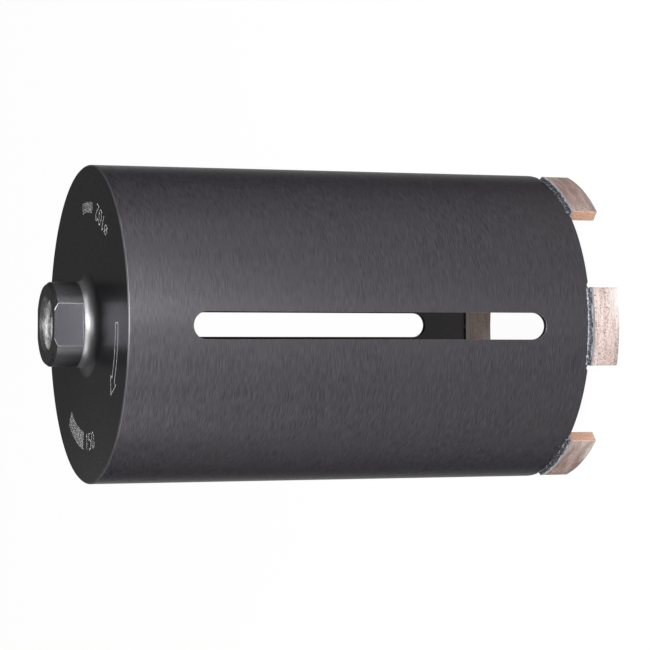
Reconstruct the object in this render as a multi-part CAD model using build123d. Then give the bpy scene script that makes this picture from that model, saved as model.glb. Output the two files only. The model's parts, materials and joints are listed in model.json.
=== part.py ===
from build123d import *
import math
import os

# Diamond core bit for dry drilling, in millimetres.
# It stands on its segment tips at z = 0, and its axis is +Z, towards the threaded hub.
# The wrench flats, one segment and one dust slot face -Y.

# Cutting segments, which stand proud of the barrel's outside
cutting_diameter = 102.0
segment_overhang = 1.0
segment_width = 4.0
segment_length = 24.0
segment_count = 6
matrix_height = 8.5
base_height = 1.15
tip_chamfer = 0.35

# Barrel
barrel_wall = 2.0
drilling_depth = 150.0

# Laser weld between each segment and the rim
weld_height = 1.05
notch_radius = 1.0
notch_depth = 0.45

# Dust slots through the wall
slot_count = 2
slot_width = 8.3
slot_rim_distance = 15.15
slot_cap_distance = 10.6

# End cap, welded on the barrel over a locating spigot
flange_thickness = 6.5
flange_chamfer = 0.55
spigot_length = 3.0
spigot_clearance = 0.1
spigot_chamfer = 0.6

# Hub with two wrench flats and a through thread
hub_diameter = 26.5
hub_height = 13.0
hub_root_radius = 3.7
hub_chamfer_width = 0.9
hub_chamfer_height = 1.1
wrench_flat_count = 2
wrench_flat_width = 23.0
wrench_flat_length = 9.15
thread_diameter = 16.0
thread_chamfer = 0.9

# Places that follow from the sizes
cutting_radius = cutting_diameter / 2
segment_inner_radius = cutting_radius - segment_width
barrel_radius = cutting_radius - segment_overhang
barrel_inner_radius = barrel_radius - barrel_wall
hub_radius = hub_diameter / 2
thread_radius = thread_diameter / 2
rim_z = matrix_height + base_height
spigot_z = drilling_depth
flange_z = spigot_z + spigot_length
back_z = flange_z + flange_thickness
hub_end_z = back_z + hub_height
slot_start_z = rim_z + slot_rim_distance
slot_end_z = spigot_z - slot_cap_distance
segment_half_angle = math.degrees(segment_length / 2 / (cutting_radius - segment_width / 2))

FACING_ANGLE = -90.0
OVERSHOOT = 1.0
MATCH = 0.0001


def ring_sector(inner_radius, outer_radius, middle_angle, half_angle):
    """A flat piece of a ring, with radial ends, about the axis."""
    start = middle_angle - half_angle
    outer = CenterArc((0, 0), outer_radius, start, 2 * half_angle)
    inner = CenterArc((0, 0), inner_radius, start, 2 * half_angle)
    ends = [Line(outer @ 0, inner @ 0), Line(outer @ 1, inner @ 1)]
    return make_face([outer, inner, *ends])


def segment_angle(index):
    """Where a segment's middle lies round the axis."""
    return FACING_ANGLE + index * 360 / segment_count


def segment_matrix(index):
    """The diamond-bearing block that cuts, from its broken tip edges up to the base."""
    plan = ring_sector(segment_inner_radius, cutting_radius, segment_angle(index), segment_half_angle)
    block = extrude(plan, matrix_height)
    tip = block.faces().sort_by(Axis.Z)[0]
    return chamfer(tip.edges(), tip_chamfer)


def segment_base(index):
    """The thin diamond-free foot of a segment, seated on the barrel's rim."""
    plan = ring_sector(segment_inner_radius, cutting_radius, segment_angle(index), segment_half_angle)
    return Pos(0, 0, matrix_height) * extrude(plan, base_height)


def weld_seam(index):
    """The weld that fills the corner between the barrel's outside and the segment's ledge."""
    outline = Polyline(
        (barrel_radius, 0, rim_z),
        (cutting_radius, 0, rim_z),
        (barrel_radius, 0, rim_z + weld_height),
        close=True,
    )
    bead = revolve(make_face(outline), Axis.Z, 2 * segment_half_angle)
    return Rot(0, 0, segment_angle(index) - segment_half_angle) * bead


def slot_cutter(index):
    """A round-ended slot, run from the axis out through one side of the wall."""
    slot_length = slot_end_z - slot_start_z
    middle_z = (slot_start_z + slot_end_z) / 2
    outline = Plane.XZ * Pos(0, middle_z) * SlotOverall(slot_length, slot_width, rotation=90)
    return Rot(0, 0, index * 360 / slot_count) * extrude(outline, barrel_radius + OVERSHOOT)


def notch_cutter(angle):
    """A shallow round-bottomed notch across the rim, where a weld runs out."""
    reach = barrel_wall + 2 * OVERSHOOT
    middle_radius = barrel_radius - barrel_wall / 2
    pin = Rot(0, 90, 0) * Cylinder(notch_radius, reach)
    place = Pos(middle_radius, 0, rim_z + notch_depth - notch_radius)
    return Rot(0, 0, angle) * place * pin


def notch_angles():
    """Both sides of every segment, just clear of its ends."""
    half_chord = math.sqrt(notch_radius**2 - (notch_radius - notch_depth) ** 2)
    aside = segment_half_angle + math.degrees(half_chord / barrel_inner_radius)
    middles = [segment_angle(index) for index in range(segment_count)]
    return [middle + side * aside for middle in middles for side in (-1, 1)]


def barrel():
    """The rolled tube with its dust slots, and the weld notches in its rim."""
    length = flange_z - rim_z
    base = (Align.CENTER, Align.CENTER, Align.MIN)
    tube = Cylinder(barrel_radius, length, align=base) - Cylinder(barrel_inner_radius, length, align=base)
    tube = Pos(0, 0, rim_z) * tube
    tube -= [slot_cutter(index) for index in range(slot_count)]
    tube -= [notch_cutter(angle) for angle in notch_angles()]
    return tube


def circles_at(solid, radius, z):
    """The round edges of a turned solid that have this radius and height."""
    level = solid.edges().filter_by(GeomType.CIRCLE).filter_by_position(Axis.Z, z - MATCH, z + MATCH)
    return level.filter_by(lambda edge: abs(edge.radius - radius) < MATCH)


def turned_cap():
    """The flange, its spigot and the round hub, as they come off the lathe."""
    spigot_radius = barrel_inner_radius - spigot_clearance
    outline = Polyline(
        (0, 0, spigot_z),
        (spigot_radius, 0, spigot_z),
        (spigot_radius, 0, flange_z),
        (barrel_radius, 0, flange_z),
        (barrel_radius, 0, back_z),
        (hub_radius, 0, back_z),
        (hub_radius, 0, hub_end_z),
        (0, 0, hub_end_z),
        close=True,
    )
    cap = revolve(make_face(outline), Axis.Z)
    cap = chamfer(circles_at(cap, spigot_radius, spigot_z), spigot_chamfer)
    cap = chamfer(circles_at(cap, barrel_radius, back_z), flange_chamfer)
    cap = fillet(circles_at(cap, hub_radius, back_z), hub_root_radius)
    return cap


def thread_cutter():
    """The through bore at the thread's nominal size, opened by a chamfer at each end."""
    wide = thread_radius + thread_chamfer
    outline = Polyline(
        (0, 0, spigot_z - OVERSHOOT),
        (wide + OVERSHOOT, 0, spigot_z - OVERSHOOT),
        (thread_radius, 0, spigot_z + thread_chamfer),
        (thread_radius, 0, hub_end_z - thread_chamfer),
        (wide + OVERSHOOT, 0, hub_end_z + OVERSHOOT),
        (0, 0, hub_end_z + OVERSHOOT),
        close=True,
    )
    return revolve(make_face(outline), Axis.Z)


def hub_end_cutter():
    """What the lathe takes off the hub's outer end to leave its steep chamfer."""
    slope = hub_chamfer_width / hub_chamfer_height
    foot = hub_end_z - hub_chamfer_height
    outline = Polyline(
        (hub_radius, 0, foot),
        (hub_radius + OVERSHOOT, 0, foot),
        (hub_radius + OVERSHOOT, 0, hub_end_z + OVERSHOOT),
        (hub_radius - hub_chamfer_width - slope * OVERSHOOT, 0, hub_end_z + OVERSHOOT),
        close=True,
    )
    return revolve(make_face(outline), Axis.Z)


def flat_cutter(index):
    """The block milled off one side of the hub to leave a wrench flat with a step at its foot."""
    across = hub_diameter + 2 * OVERSHOOT
    deep = (across - wrench_flat_width) / 2
    block = Box(across, deep, wrench_flat_length + OVERSHOOT, align=(Align.CENTER, Align.MIN, Align.MIN))
    place = Pos(0, wrench_flat_width / 2, hub_end_z - wrench_flat_length)
    return Rot(0, 0, index * 360 / wrench_flat_count) * place * block


def end_cap():
    """The finished cap, with chamfer, wrench flats and bore."""
    cap = turned_cap() - hub_end_cutter() - thread_cutter()
    return cap - [flat_cutter(index) for index in range(wrench_flat_count)]


def all_parts():
    """Every piece of the core bit by its node name."""
    parts = {"barrel": barrel(), "end_cap": end_cap()}
    for index in range(segment_count):
        number = index + 1
        parts[f"segment_matrix_{number}"] = segment_matrix(index)
        parts[f"segment_base_{number}"] = segment_base(index)
        parts[f"weld_seam_{number}"] = weld_seam(index)
    return parts


os.makedirs("parts", exist_ok=True)
for name, shape in all_parts().items():
    export_step(shape, f"parts/{name}.step")
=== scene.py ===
import json
import math
from functools import cached_property

import bmesh
import bpy
import numpy as np
from bpy.props import FloatProperty, FloatVectorProperty, IntProperty, PointerProperty
from mathutils import Matrix, Vector


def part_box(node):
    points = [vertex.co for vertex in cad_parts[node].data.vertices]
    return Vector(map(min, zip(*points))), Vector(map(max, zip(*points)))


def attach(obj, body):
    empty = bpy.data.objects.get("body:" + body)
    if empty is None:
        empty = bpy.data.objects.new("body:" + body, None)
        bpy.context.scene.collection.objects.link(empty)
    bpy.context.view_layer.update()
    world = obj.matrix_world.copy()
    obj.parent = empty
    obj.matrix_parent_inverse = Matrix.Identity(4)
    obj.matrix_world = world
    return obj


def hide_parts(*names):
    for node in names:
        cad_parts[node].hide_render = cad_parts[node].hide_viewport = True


bl_info = {
    "name": "Diamond core bit",
    "version": (1, 0, 0),
    "blender": (4, 5, 0),
    "location": "3D View > Sidebar > Core Bit",
    "description": "Dresses the packed core bit with its finished surfaces and sets up its studio",
    "category": "Object",
}

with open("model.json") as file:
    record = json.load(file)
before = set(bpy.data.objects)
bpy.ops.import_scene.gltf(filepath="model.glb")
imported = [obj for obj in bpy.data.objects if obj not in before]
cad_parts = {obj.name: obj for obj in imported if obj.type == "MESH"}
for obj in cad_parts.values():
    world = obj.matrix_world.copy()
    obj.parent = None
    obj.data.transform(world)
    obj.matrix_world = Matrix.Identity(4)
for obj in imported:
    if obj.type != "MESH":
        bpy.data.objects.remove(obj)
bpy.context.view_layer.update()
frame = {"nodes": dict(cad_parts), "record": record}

MM = 0.001
BODY = "root"

# Sizes and places read from the packed frame, in metres
BARREL_LOW, BARREL_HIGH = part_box("barrel")
CAP_LOW, CAP_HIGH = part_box("end_cap")
MATRIX_LOW, MATRIX_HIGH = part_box("segment_matrix_1")
WELD_TOP_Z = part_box("weld_seam_1")[1].z
SEGMENT_COUNT = sum(name.startswith("segment_matrix_") for name in frame["nodes"])
BARREL_RADIUS = BARREL_HIGH.x
CUTTING_RADIUS = -MATRIX_LOW.y
MATRIX_TOP_Z = MATRIX_HIGH.z
RIM_Z = BARREL_LOW.z
FLANGE_Z = BARREL_HIGH.z
SPIGOT_Z = CAP_LOW.z
HUB_END_Z = CAP_HIGH.z
THREAD = next(mount for mount in frame["record"]["mounts"] if mount["name"] == "spindle_thread")
THREAD_RADIUS = THREAD["dims"]["r_mm"] * MM

FRONT = -math.pi / 2  # The first segment's angle round the axis
SUPPORT = 0.03 * MM  # How far beside a rounded edge its row of support points lies
TINY = 1e-12  # Keeps a length from being divided by nothing


def length(name, description, default):
    """A length property in metres."""
    return FloatProperty(name=name, description=description, default=default, precision=5, unit="LENGTH")


def colour(name, description, default):
    """A colour property in linear light."""
    return FloatVectorProperty(name=name, description=description, default=default, size=3,
                               min=0.0, max=1.0, subtype="COLOR")


def share(name, description, default):
    """A property from nothing to all."""
    return FloatProperty(name=name, description=description, default=default,
                         min=0.0, max=1.0, subtype="FACTOR")


class BarrelSizes(bpy.types.PropertyGroup):
    """Sizes of the slotted tube."""
    wall: length("Wall", "Thickness of the tube", 2.0 * MM)
    edge: length("Edge", "Rounding of the slot and rim edges", 0.1 * MM)
    slot_width: length("Slot width", "Width of a dust slot", 8.3 * MM)
    slot_rim_distance: length("Slot to rim", "From the rim to a slot's end", 15.15 * MM)
    slot_cap_distance: length("Slot to cap", "From a slot's other end to the cap", 10.6 * MM)
    notch_radius: length("Notch radius", "Radius of the notches beside each segment", 1.0 * MM)
    notch_depth: length("Notch depth", "How deep those notches cut into the rim", 0.45 * MM)


class CapSizes(bpy.types.PropertyGroup):
    """Sizes of the turned end cap and its hub."""
    back_z: length("Back face", "Height of the flange's outer face", FLANGE_Z + 6.5 * MM)
    flange_chamfer: length("Flange chamfer", "Broken edge of the flange", 0.42 * MM)
    flange_edge: length("Flange edge", "Rounding of the broken edge", 0.3 * MM)
    spigot_clearance: length("Spigot clearance", "Gap between spigot and tube", 0.1 * MM)
    spigot_chamfer: length("Spigot chamfer", "Lead-in of the spigot", 0.6 * MM)
    hub_diameter: length("Hub diameter", "Outside of the round hub", 26.5 * MM)
    root_radius: length("Root radius", "Concave radius at the hub's foot", 3.7 * MM)
    end_chamfer_width: length("End chamfer width", "Radial size of the hub's chamfer", 0.9 * MM)
    end_chamfer_height: length("End chamfer height", "Axial size of the hub's chamfer", 1.1 * MM)
    flat_width: length("Across flats", "Distance between the wrench flats", 23.0 * MM)
    flat_length: length("Flat length", "How far the flats reach down the hub", 9.15 * MM)
    bore_chamfer: length("Bore chamfer", "Countersink at each end of the bore", 0.9 * MM)
    edge: length("Edge", "Rounding of the turned edges", 0.12 * MM)


class ThreadSizes(bpy.types.PropertyGroup):
    """Sizes of the hub's internal thread."""
    pitch: length("Pitch", "Rise of one turn", 2.0 * MM)
    depth: length("Depth", "Height of the ridge over its root", 1.08 * MM)
    crest: length("Crest", "Width of the ridge's flat top", 0.5 * MM)
    root: length("Root", "Width of the flat between two turns", 0.25 * MM)


class SegmentSizes(bpy.types.PropertyGroup):
    """Sizes and wear of the cutting segments."""
    width: length("Width", "Radial thickness of a segment", 4.0 * MM)
    length: length("Length", "Length of a segment at its middle radius", 24.0 * MM)
    tip_edge: length("Tip edge", "Rounding of the tip's edges", 0.35 * MM)
    foot_edge: length("Foot edge", "Rounding of the steel foot's edges", 0.07 * MM)
    pit_count: IntProperty(name="Pits", description="Torn-out grains on each segment", default=110, min=0)
    pit_depth: length("Pit depth", "Depth of the deepest pit", 0.12 * MM)
    grain: length("Grain", "Height of the sintered surface's roughness", 0.022 * MM)


class WeldSizes(bpy.types.PropertyGroup):
    """Sizes of the weld beads and their spatter."""
    ripple_pitch: length("Ripple pitch", "Distance between two weld ripples", 0.42 * MM)
    ripple_height: length("Ripple height", "Height of a weld ripple", 0.05 * MM)
    drop_count: IntProperty(name="Drops", description="Spatter drops beside each bead", default=34, min=0)
    drop_radius: length("Drop radius", "Radius of the largest spatter drop", 0.13 * MM)


class MarkSizes(bpy.types.PropertyGroup):
    """Sizes of the plain engraved marks."""
    ring_radius: length("Ring radius", "Radius that the marks lie on", 36.8 * MM)
    digit_height: length("Digit height", "Height of the size numbers", 5.0 * MM)
    line_width: length("Line width", "Width of an engraved line", 0.24 * MM)
    line_height: length("Line height", "How far a line stands proud of the face", 0.012 * MM)


class FinishColours(bpy.types.PropertyGroup):
    """Colours of the finishes."""
    coat: colour("Coat", "Black coat on the turned steel", (0.0405, 0.038, 0.0435))
    coat_light: colour("Coat light", "Paler strokes in the coat", (0.0765, 0.073, 0.0805))
    coat_warm: colour("Coat warm", "Broad browner patches of the coat", (0.064, 0.061, 0.066))
    coat_inside: colour("Coat inside", "Coat on the inside of the tube", (0.036, 0.034, 0.035))
    hub_dark: colour("Hub dark", "Darker strokes on the hub's turned side", (0.06, 0.058, 0.062))
    hub_light: colour("Hub light", "Paler strokes on the hub's turned side", (0.14, 0.136, 0.144))
    dust: colour("Dust", "Specks of dust on the coat", (0.4, 0.4, 0.41))
    cut_dark: colour("Cut dark", "Darker grain of the bare countersinks", (0.12, 0.12, 0.125))
    cut_light: colour("Cut light", "Paler grain of the bare countersinks", (0.4, 0.4, 0.41))
    thread_dark: colour("Thread dark", "Duller smears in the thread", (0.42, 0.415, 0.42))
    thread_light: colour("Thread light", "Bright smears in the thread", (0.95, 0.945, 0.94))
    # Painted highlight: paler colour on the hub's smoother root
    root_painted_highlight: colour("Burnished", "Polished root of the hub", (0.23, 0.227, 0.235))
    milled: colour("Milled", "Wrench flats", (0.075, 0.074, 0.083))
    milled_light: colour("Milled light", "Paler grain of the wrench flats", (0.106, 0.105, 0.118))
    steel: colour("Steel", "Bare steel", (0.62, 0.62, 0.64))
    bronze: colour("Bronze", "Grains of the sintered bronze", (0.62, 0.49, 0.452))
    # Darker bronze of the smears, also used as painted shade on the tips' trailing half and on sideways
    # segments
    bronze_dark_and_shade: colour("Bronze dark", "Smeared, darker bronze", (0.28, 0.198, 0.172))
    bronze_end: colour("Bronze end", "Unground bronze of the segments' ends", (0.74, 0.49, 0.38))
    bronze_ground: colour("Bronze ground", "Cream streaks left by grinding", (0.82, 0.74, 0.72))
    bronze_torn: colour("Bronze torn", "Rows of torn grains", (0.17, 0.125, 0.11))
    # Painted highlight on the leading half of the tips
    bronze_painted_highlight: colour("Bronze polished", "Leading half of the tips", (0.93, 0.88, 0.86))
    # Painted shade on the inner sides of the segments
    bronze_inner_shade: colour("Bronze sooty", "Inner sides of the segments", (0.1, 0.076, 0.066))
    bronze_raw: colour("Bronze raw", "Darker grains of the segments' ends", (0.5, 0.27, 0.16))
    bronze_hole: colour("Bronze hole", "Holes that lost grains leave", (0.07, 0.05, 0.045))
    bronze_gloss: colour("Bronze gloss", "Tint of the bronze's gloss at a flat angle", (0.5, 0.42, 0.38))
    foot: colour("Foot", "Ground steel of the segments' feet", (0.4, 0.41, 0.44))
    foot_blued: colour("Foot blued", "Faintly blued steel of the feet", (0.22, 0.25, 0.31))
    foot_lines: colour("Foot lines", "Grinding lines on the feet", (0.24, 0.24, 0.26))
    foot_stain: colour("Foot stain", "Dark stain along the weld", (0.06, 0.062, 0.068))
    foot_stain_light: colour("Foot stain light", "Bare spots in that stain", (0.4, 0.41, 0.43))
    # Painted shade on the inner sides of the feet
    foot_inside_shade: colour("Foot inside", "Inner sides of the feet", (0.14, 0.136, 0.134))
    weld: colour("Weld", "Heat-blued weld", (0.075, 0.082, 0.098))
    weld_light: colour("Weld light", "Paler scale on the weld", (0.25, 0.256, 0.275))
    mark: colour("Mark", "Engraved lines", (0.95, 0.95, 0.95))
    mark_broken: colour("Mark broken", "Darker grain in the engraved lines", (0.25, 0.25, 0.26))
    floor: colour("Floor", "Pale studio floor", (0.8, 0.8, 0.8))


class StudioSizes(bpy.types.PropertyGroup):
    """The camera, the floor and the lamps."""
    camera_distance: length("Camera distance", "From the camera to the axis", 0.7328)
    camera_elevation: FloatProperty(name="Camera elevation", description="Angle above the horizon",
                                    default=math.radians(18.18), subtype="ANGLE")
    camera_azimuth: FloatProperty(name="Camera azimuth", description="Angle round the axis from the front",
                                  default=math.radians(0.12), subtype="ANGLE")
    camera_roll: FloatProperty(name="Camera roll", description="Turn about the line of sight",
                               default=math.radians(0.178), subtype="ANGLE")
    look_z: length("Look height", "Height on the axis that the camera looks at", 0.10651)
    focal_length: FloatProperty(name="Focal length", description="Of the lens, in millimetres", default=126.5)
    shift: FloatProperty(name="Shift", description="Sideways shift of the picture", default=0.12)
    floor_size: length("Floor size", "Side of the square floor", 12.0)
    world_strength: share("World strength", "Brightness of the plain grey surroundings", 0.15)
    floor_glow: share("Floor glow", "Share of the floor's white that no shadow dims", 0.97)


GROUPS = {
    "core_bit_barrel": BarrelSizes,
    "core_bit_cap": CapSizes,
    "core_bit_thread": ThreadSizes,
    "core_bit_segments": SegmentSizes,
    "core_bit_welds": WeldSizes,
    "core_bit_marks": MarkSizes,
    "core_bit_colours": FinishColours,
    "core_bit_studio": StudioSizes,
}


# Meshes from grids of points

MERGE = 1.5e-6  # Points closer than this are merged
FINE_MERGE = 0.2e-6


def grid_mesh(name, grids, sharp_degrees=35.0, merge_distance=MERGE):
    """One object from grids of points, each (rows, columns, 4), whose shared borders are merged.

    The fourth number of a point is its wear, kept as an attribute. Every four neighbours
    (i, j), (i, j+1), (i+1, j+1), (i+1, j) make a face.
    """
    points = []
    faces = []
    start = 0
    for grid in grids:
        rows, columns = grid.shape[:2]
        index = start + np.arange(rows * columns).reshape(rows, columns)
        corners = (index[:-1, :-1], index[:-1, 1:], index[1:, 1:], index[1:, :-1])
        faces.append(np.stack(corners, -1).reshape(-1, 4))
        points.append(grid.reshape(-1, 4))
        start += rows * columns
    points = np.concatenate(points)
    mesh = bpy.data.meshes.new(name)
    mesh.from_pydata(points[:, :3].tolist(), [], np.concatenate(faces).tolist())
    wear = mesh.attributes.new("wear", "FLOAT", "POINT")
    wear.data.foreach_set("value", points[:, 3].astype(np.float32))
    work = bmesh.new()
    work.from_mesh(mesh)
    bmesh.ops.remove_doubles(work, verts=work.verts, dist=merge_distance)
    bmesh.ops.dissolve_degenerate(work, edges=work.edges, dist=merge_distance)
    bmesh.ops.recalc_face_normals(work, faces=work.faces)
    work.to_mesh(mesh)
    work.free()
    mesh.shade_smooth()
    mesh.set_sharp_from_angle(angle=math.radians(sharp_degrees))
    piece = bpy.data.objects.new(name, mesh)
    bpy.context.scene.collection.objects.link(piece)
    return piece


def with_wear(xyz, wear=0.0):
    """Points (..., 3) with their wear as a fourth number."""
    return np.concatenate([xyz, np.broadcast_to(wear, xyz.shape[:-1])[..., None]], -1)


def polar(radius, angle, z):
    """Points (r cos a, r sin a, z), with the three arrays spread against each other."""
    radius, angle, z = np.broadcast_arrays(radius, angle, z)
    return np.stack([radius * np.cos(angle), radius * np.sin(angle), z], -1)


def crowded(start, end, count, centres, width, extra):
    """Rising values from start to end that crowd round the centres.

    They are spaced evenly in the running sum of 1 + extra * exp(-((t - centre) / width)^2).
    """
    fine = np.linspace(start, end, 8 * count)
    density = np.ones_like(fine)
    for centre in centres:
        density += extra * np.exp(-(((fine - centre) / width) ** 2))
    total = np.concatenate([[0.0], np.cumsum((density[1:] + density[:-1]) / 2)])
    values = np.interp(np.linspace(0.0, total[-1], count + 1), total, fine)
    values[0], values[-1] = start, end
    return values


def rounded_profile(corners, steps=3):
    """An outline of (r, z) points with an arc of the given radius at each corner.

    An arc touches both sides at radius / tan(half the corner's angle) from the corner, and a
    point just outside each end of it keeps its shading off the flat sides.
    """
    corners = np.array(corners, float)
    outline = []
    for i, (r, z, radius) in enumerate(corners):
        here = np.array([r, z])
        if radius == 0 or i in (0, len(corners) - 1):
            outline.append(here)
            continue
        back = corners[i - 1, :2] - here
        ahead = corners[i + 1, :2] - here
        back /= np.linalg.norm(back)
        ahead /= np.linalg.norm(ahead)
        half = math.acos(np.clip(back @ ahead, -1, 1)) / 2
        middle = (back + ahead) / np.linalg.norm(back + ahead)
        centre = here + middle * radius / math.sin(half)
        reach = radius / math.tan(half)
        first = here + back * reach - centre
        last = here + ahead * reach - centre
        turn = math.atan2(first[0] * last[1] - first[1] * last[0], first @ last)
        outline.append(here + back * (reach + SUPPORT))
        for t in np.linspace(0.0, turn, steps + 1):
            c, s = math.cos(t), math.sin(t)
            outline.append(centre + np.array([first[0] * c - first[1] * s, first[0] * s + first[1] * c]))
        outline.append(here + ahead * (reach + SUPPORT))
    return np.array(outline)


# Finishes

def paint(name):
    """One of the colours of the finishes, with full alpha."""
    return (*getattr(bpy.context.scene.core_bit_colours, name), 1.0)


def grey(level):
    """An even grey with full alpha."""
    return (level, level, level, 1.0)


class Finish:
    """A node material in the making, with the coordinates, patterns and sums that the finishes share."""

    def __init__(self, name):
        self.material = bpy.data.materials.new(name)
        self.material.use_nodes = True
        self.nodes = self.material.node_tree.nodes
        self.link = self.material.node_tree.links.new
        self.nodes.clear()
        self.shader = self.add("BsdfPrincipled")
        self.output = self.add("OutputMaterial", {"Surface": self.shader.outputs["BSDF"]})

    def add(self, kind, inputs=None, **settings):
        """A new node with its settings, whose inputs are linked or set."""
        node = self.nodes.new("ShaderNode" + kind)
        for key, value in settings.items():
            setattr(node, key, value)
        self.feed(node, inputs or {})
        return node

    def feed(self, node, inputs):
        """Links a node's inputs to sockets, or sets their numbers and colours."""
        for key, value in inputs.items():
            if isinstance(value, bpy.types.NodeSocket):
                self.link(value, node.inputs[key])
            else:
                node.inputs[key].default_value = value

    def shade(self, inputs):
        """The finished material, with the shader's inputs linked or set."""
        self.feed(self.shader, inputs)
        return self.material

    @cached_property
    def place(self):
        """Object coordinates."""
        return self.add("TexCoord").outputs["Object"]

    @cached_property
    def axes(self):
        """The place's X, Y and Z."""
        return self.add("SeparateXYZ", {"Vector": self.place}).outputs

    @cached_property
    def outward(self):
        """The vector from the axis to the place."""
        return self.add("CombineXYZ", {"X": self.axes["X"], "Y": self.axes["Y"]}).outputs["Vector"]

    @cached_property
    def radius(self):
        """The place's distance from the axis."""
        return self.add("VectorMath", {0: self.outward}, operation="LENGTH").outputs["Value"]

    @cached_property
    def direction(self):
        """The outward vector at length one."""
        return self.vector("NORMALIZE", {0: self.outward})

    @cached_property
    def along(self):
        """The way along a turned surface, r + z."""
        return self.arithmetic("ADD", self.radius, self.axes["Z"])

    @cached_property
    def wear(self):
        """The wear that the mesh's points carry."""
        return self.add("Attribute", attribute_name="wear").outputs["Fac"]

    def vector(self, operation, inputs):
        """One sum of vectors."""
        return self.add("VectorMath", inputs, operation=operation).outputs["Vector"]

    def arithmetic(self, operation, first, second=0.0):
        """One sum of two numbers."""
        return self.add("Math", {0: first, 1: second}, operation=operation).outputs["Value"]

    def product(self, first, *others):
        """All of the numbers multiplied."""
        for other in others:
            first = self.arithmetic("MULTIPLY", first, other)
        return first

    def below(self, value, limit):
        """One where value < limit, and nothing elsewhere."""
        return self.arithmetic("LESS_THAN", value, limit)

    def inside(self, value, low, high):
        """One where low < value < high, and nothing elsewhere."""
        return self.product(self.arithmetic("GREATER_THAN", value, low), self.below(value, high))

    def ranged(self, value, low, high, to_low=0.0, to_high=1.0):
        """A number moved from one range to another, and held inside it."""
        return self.add("MapRange", {"Value": value, "From Min": low, "From Max": high,
                                     "To Min": to_low, "To Max": to_high}).outputs["Result"]

    def blended(self, factor, first, second):
        """The number between two others."""
        return self.add("Mix", {0: factor, 2: first, 3: second}, data_type="FLOAT").outputs[0]

    def mixed(self, factor, first, second):
        """The colour between two others."""
        return self.add("Mix", {0: factor, 6: first, 7: second}, data_type="RGBA").outputs[2]

    def layered(self, colour, *layers):
        """A colour with layers over it, each with its cover from nothing to all and its colour."""
        for cover, over in layers:
            colour = self.mixed(cover, colour, over)
        return colour

    def noise(self, scale, detail=2.0, roughness=0.5, place=None):
        """Smooth noise with its scale in cells to a metre."""
        return self.add("TexNoise", {"Vector": place or self.place, "Scale": scale, "Detail": detail,
                                     "Roughness": roughness}).outputs["Fac"]

    def streaks(self, round_scale, along_scale, detail=2.0, roughness=0.5):
        """Noise drawn out round the axis: slow in direction, quick along the turned surface."""
        slow = self.vector("SCALE", {0: self.direction, "Scale": round_scale})
        quick = self.add("CombineXYZ", {"Z": self.product(self.along, along_scale)}).outputs["Vector"]
        return self.noise(1.0, detail, roughness, self.vector("ADD", {0: slow, 1: quick}))

    def speckles(self, scale, size, rarity):
        """Small round spots: cells' points nearer than size, kept where slow noise is over rarity."""
        cells = self.add("TexVoronoi", {"Vector": self.place, "Scale": scale}).outputs["Distance"]
        patches = self.noise(scale * 0.37, detail=1.0)
        return self.product(self.ranged(cells, size, size * 0.6), self.ranged(patches, rarity, rarity + 0.03))

    def relief(self, height, strength, distance):
        """The surface's direction with a height worked into it."""
        bump = self.add("Bump", {"Height": height, "Strength": strength, "Distance": distance})
        return bump.outputs["Normal"]

    def brushed(self, strength):
        """The shader's inputs that draw its gloss out across the turning marks."""
        tangent = self.add("Tangent", direction_type="RADIAL", axis="Z").outputs["Tangent"]
        return {"Anisotropic": strength, "Anisotropic Rotation": 0.25, "Tangent": tangent}


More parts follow.
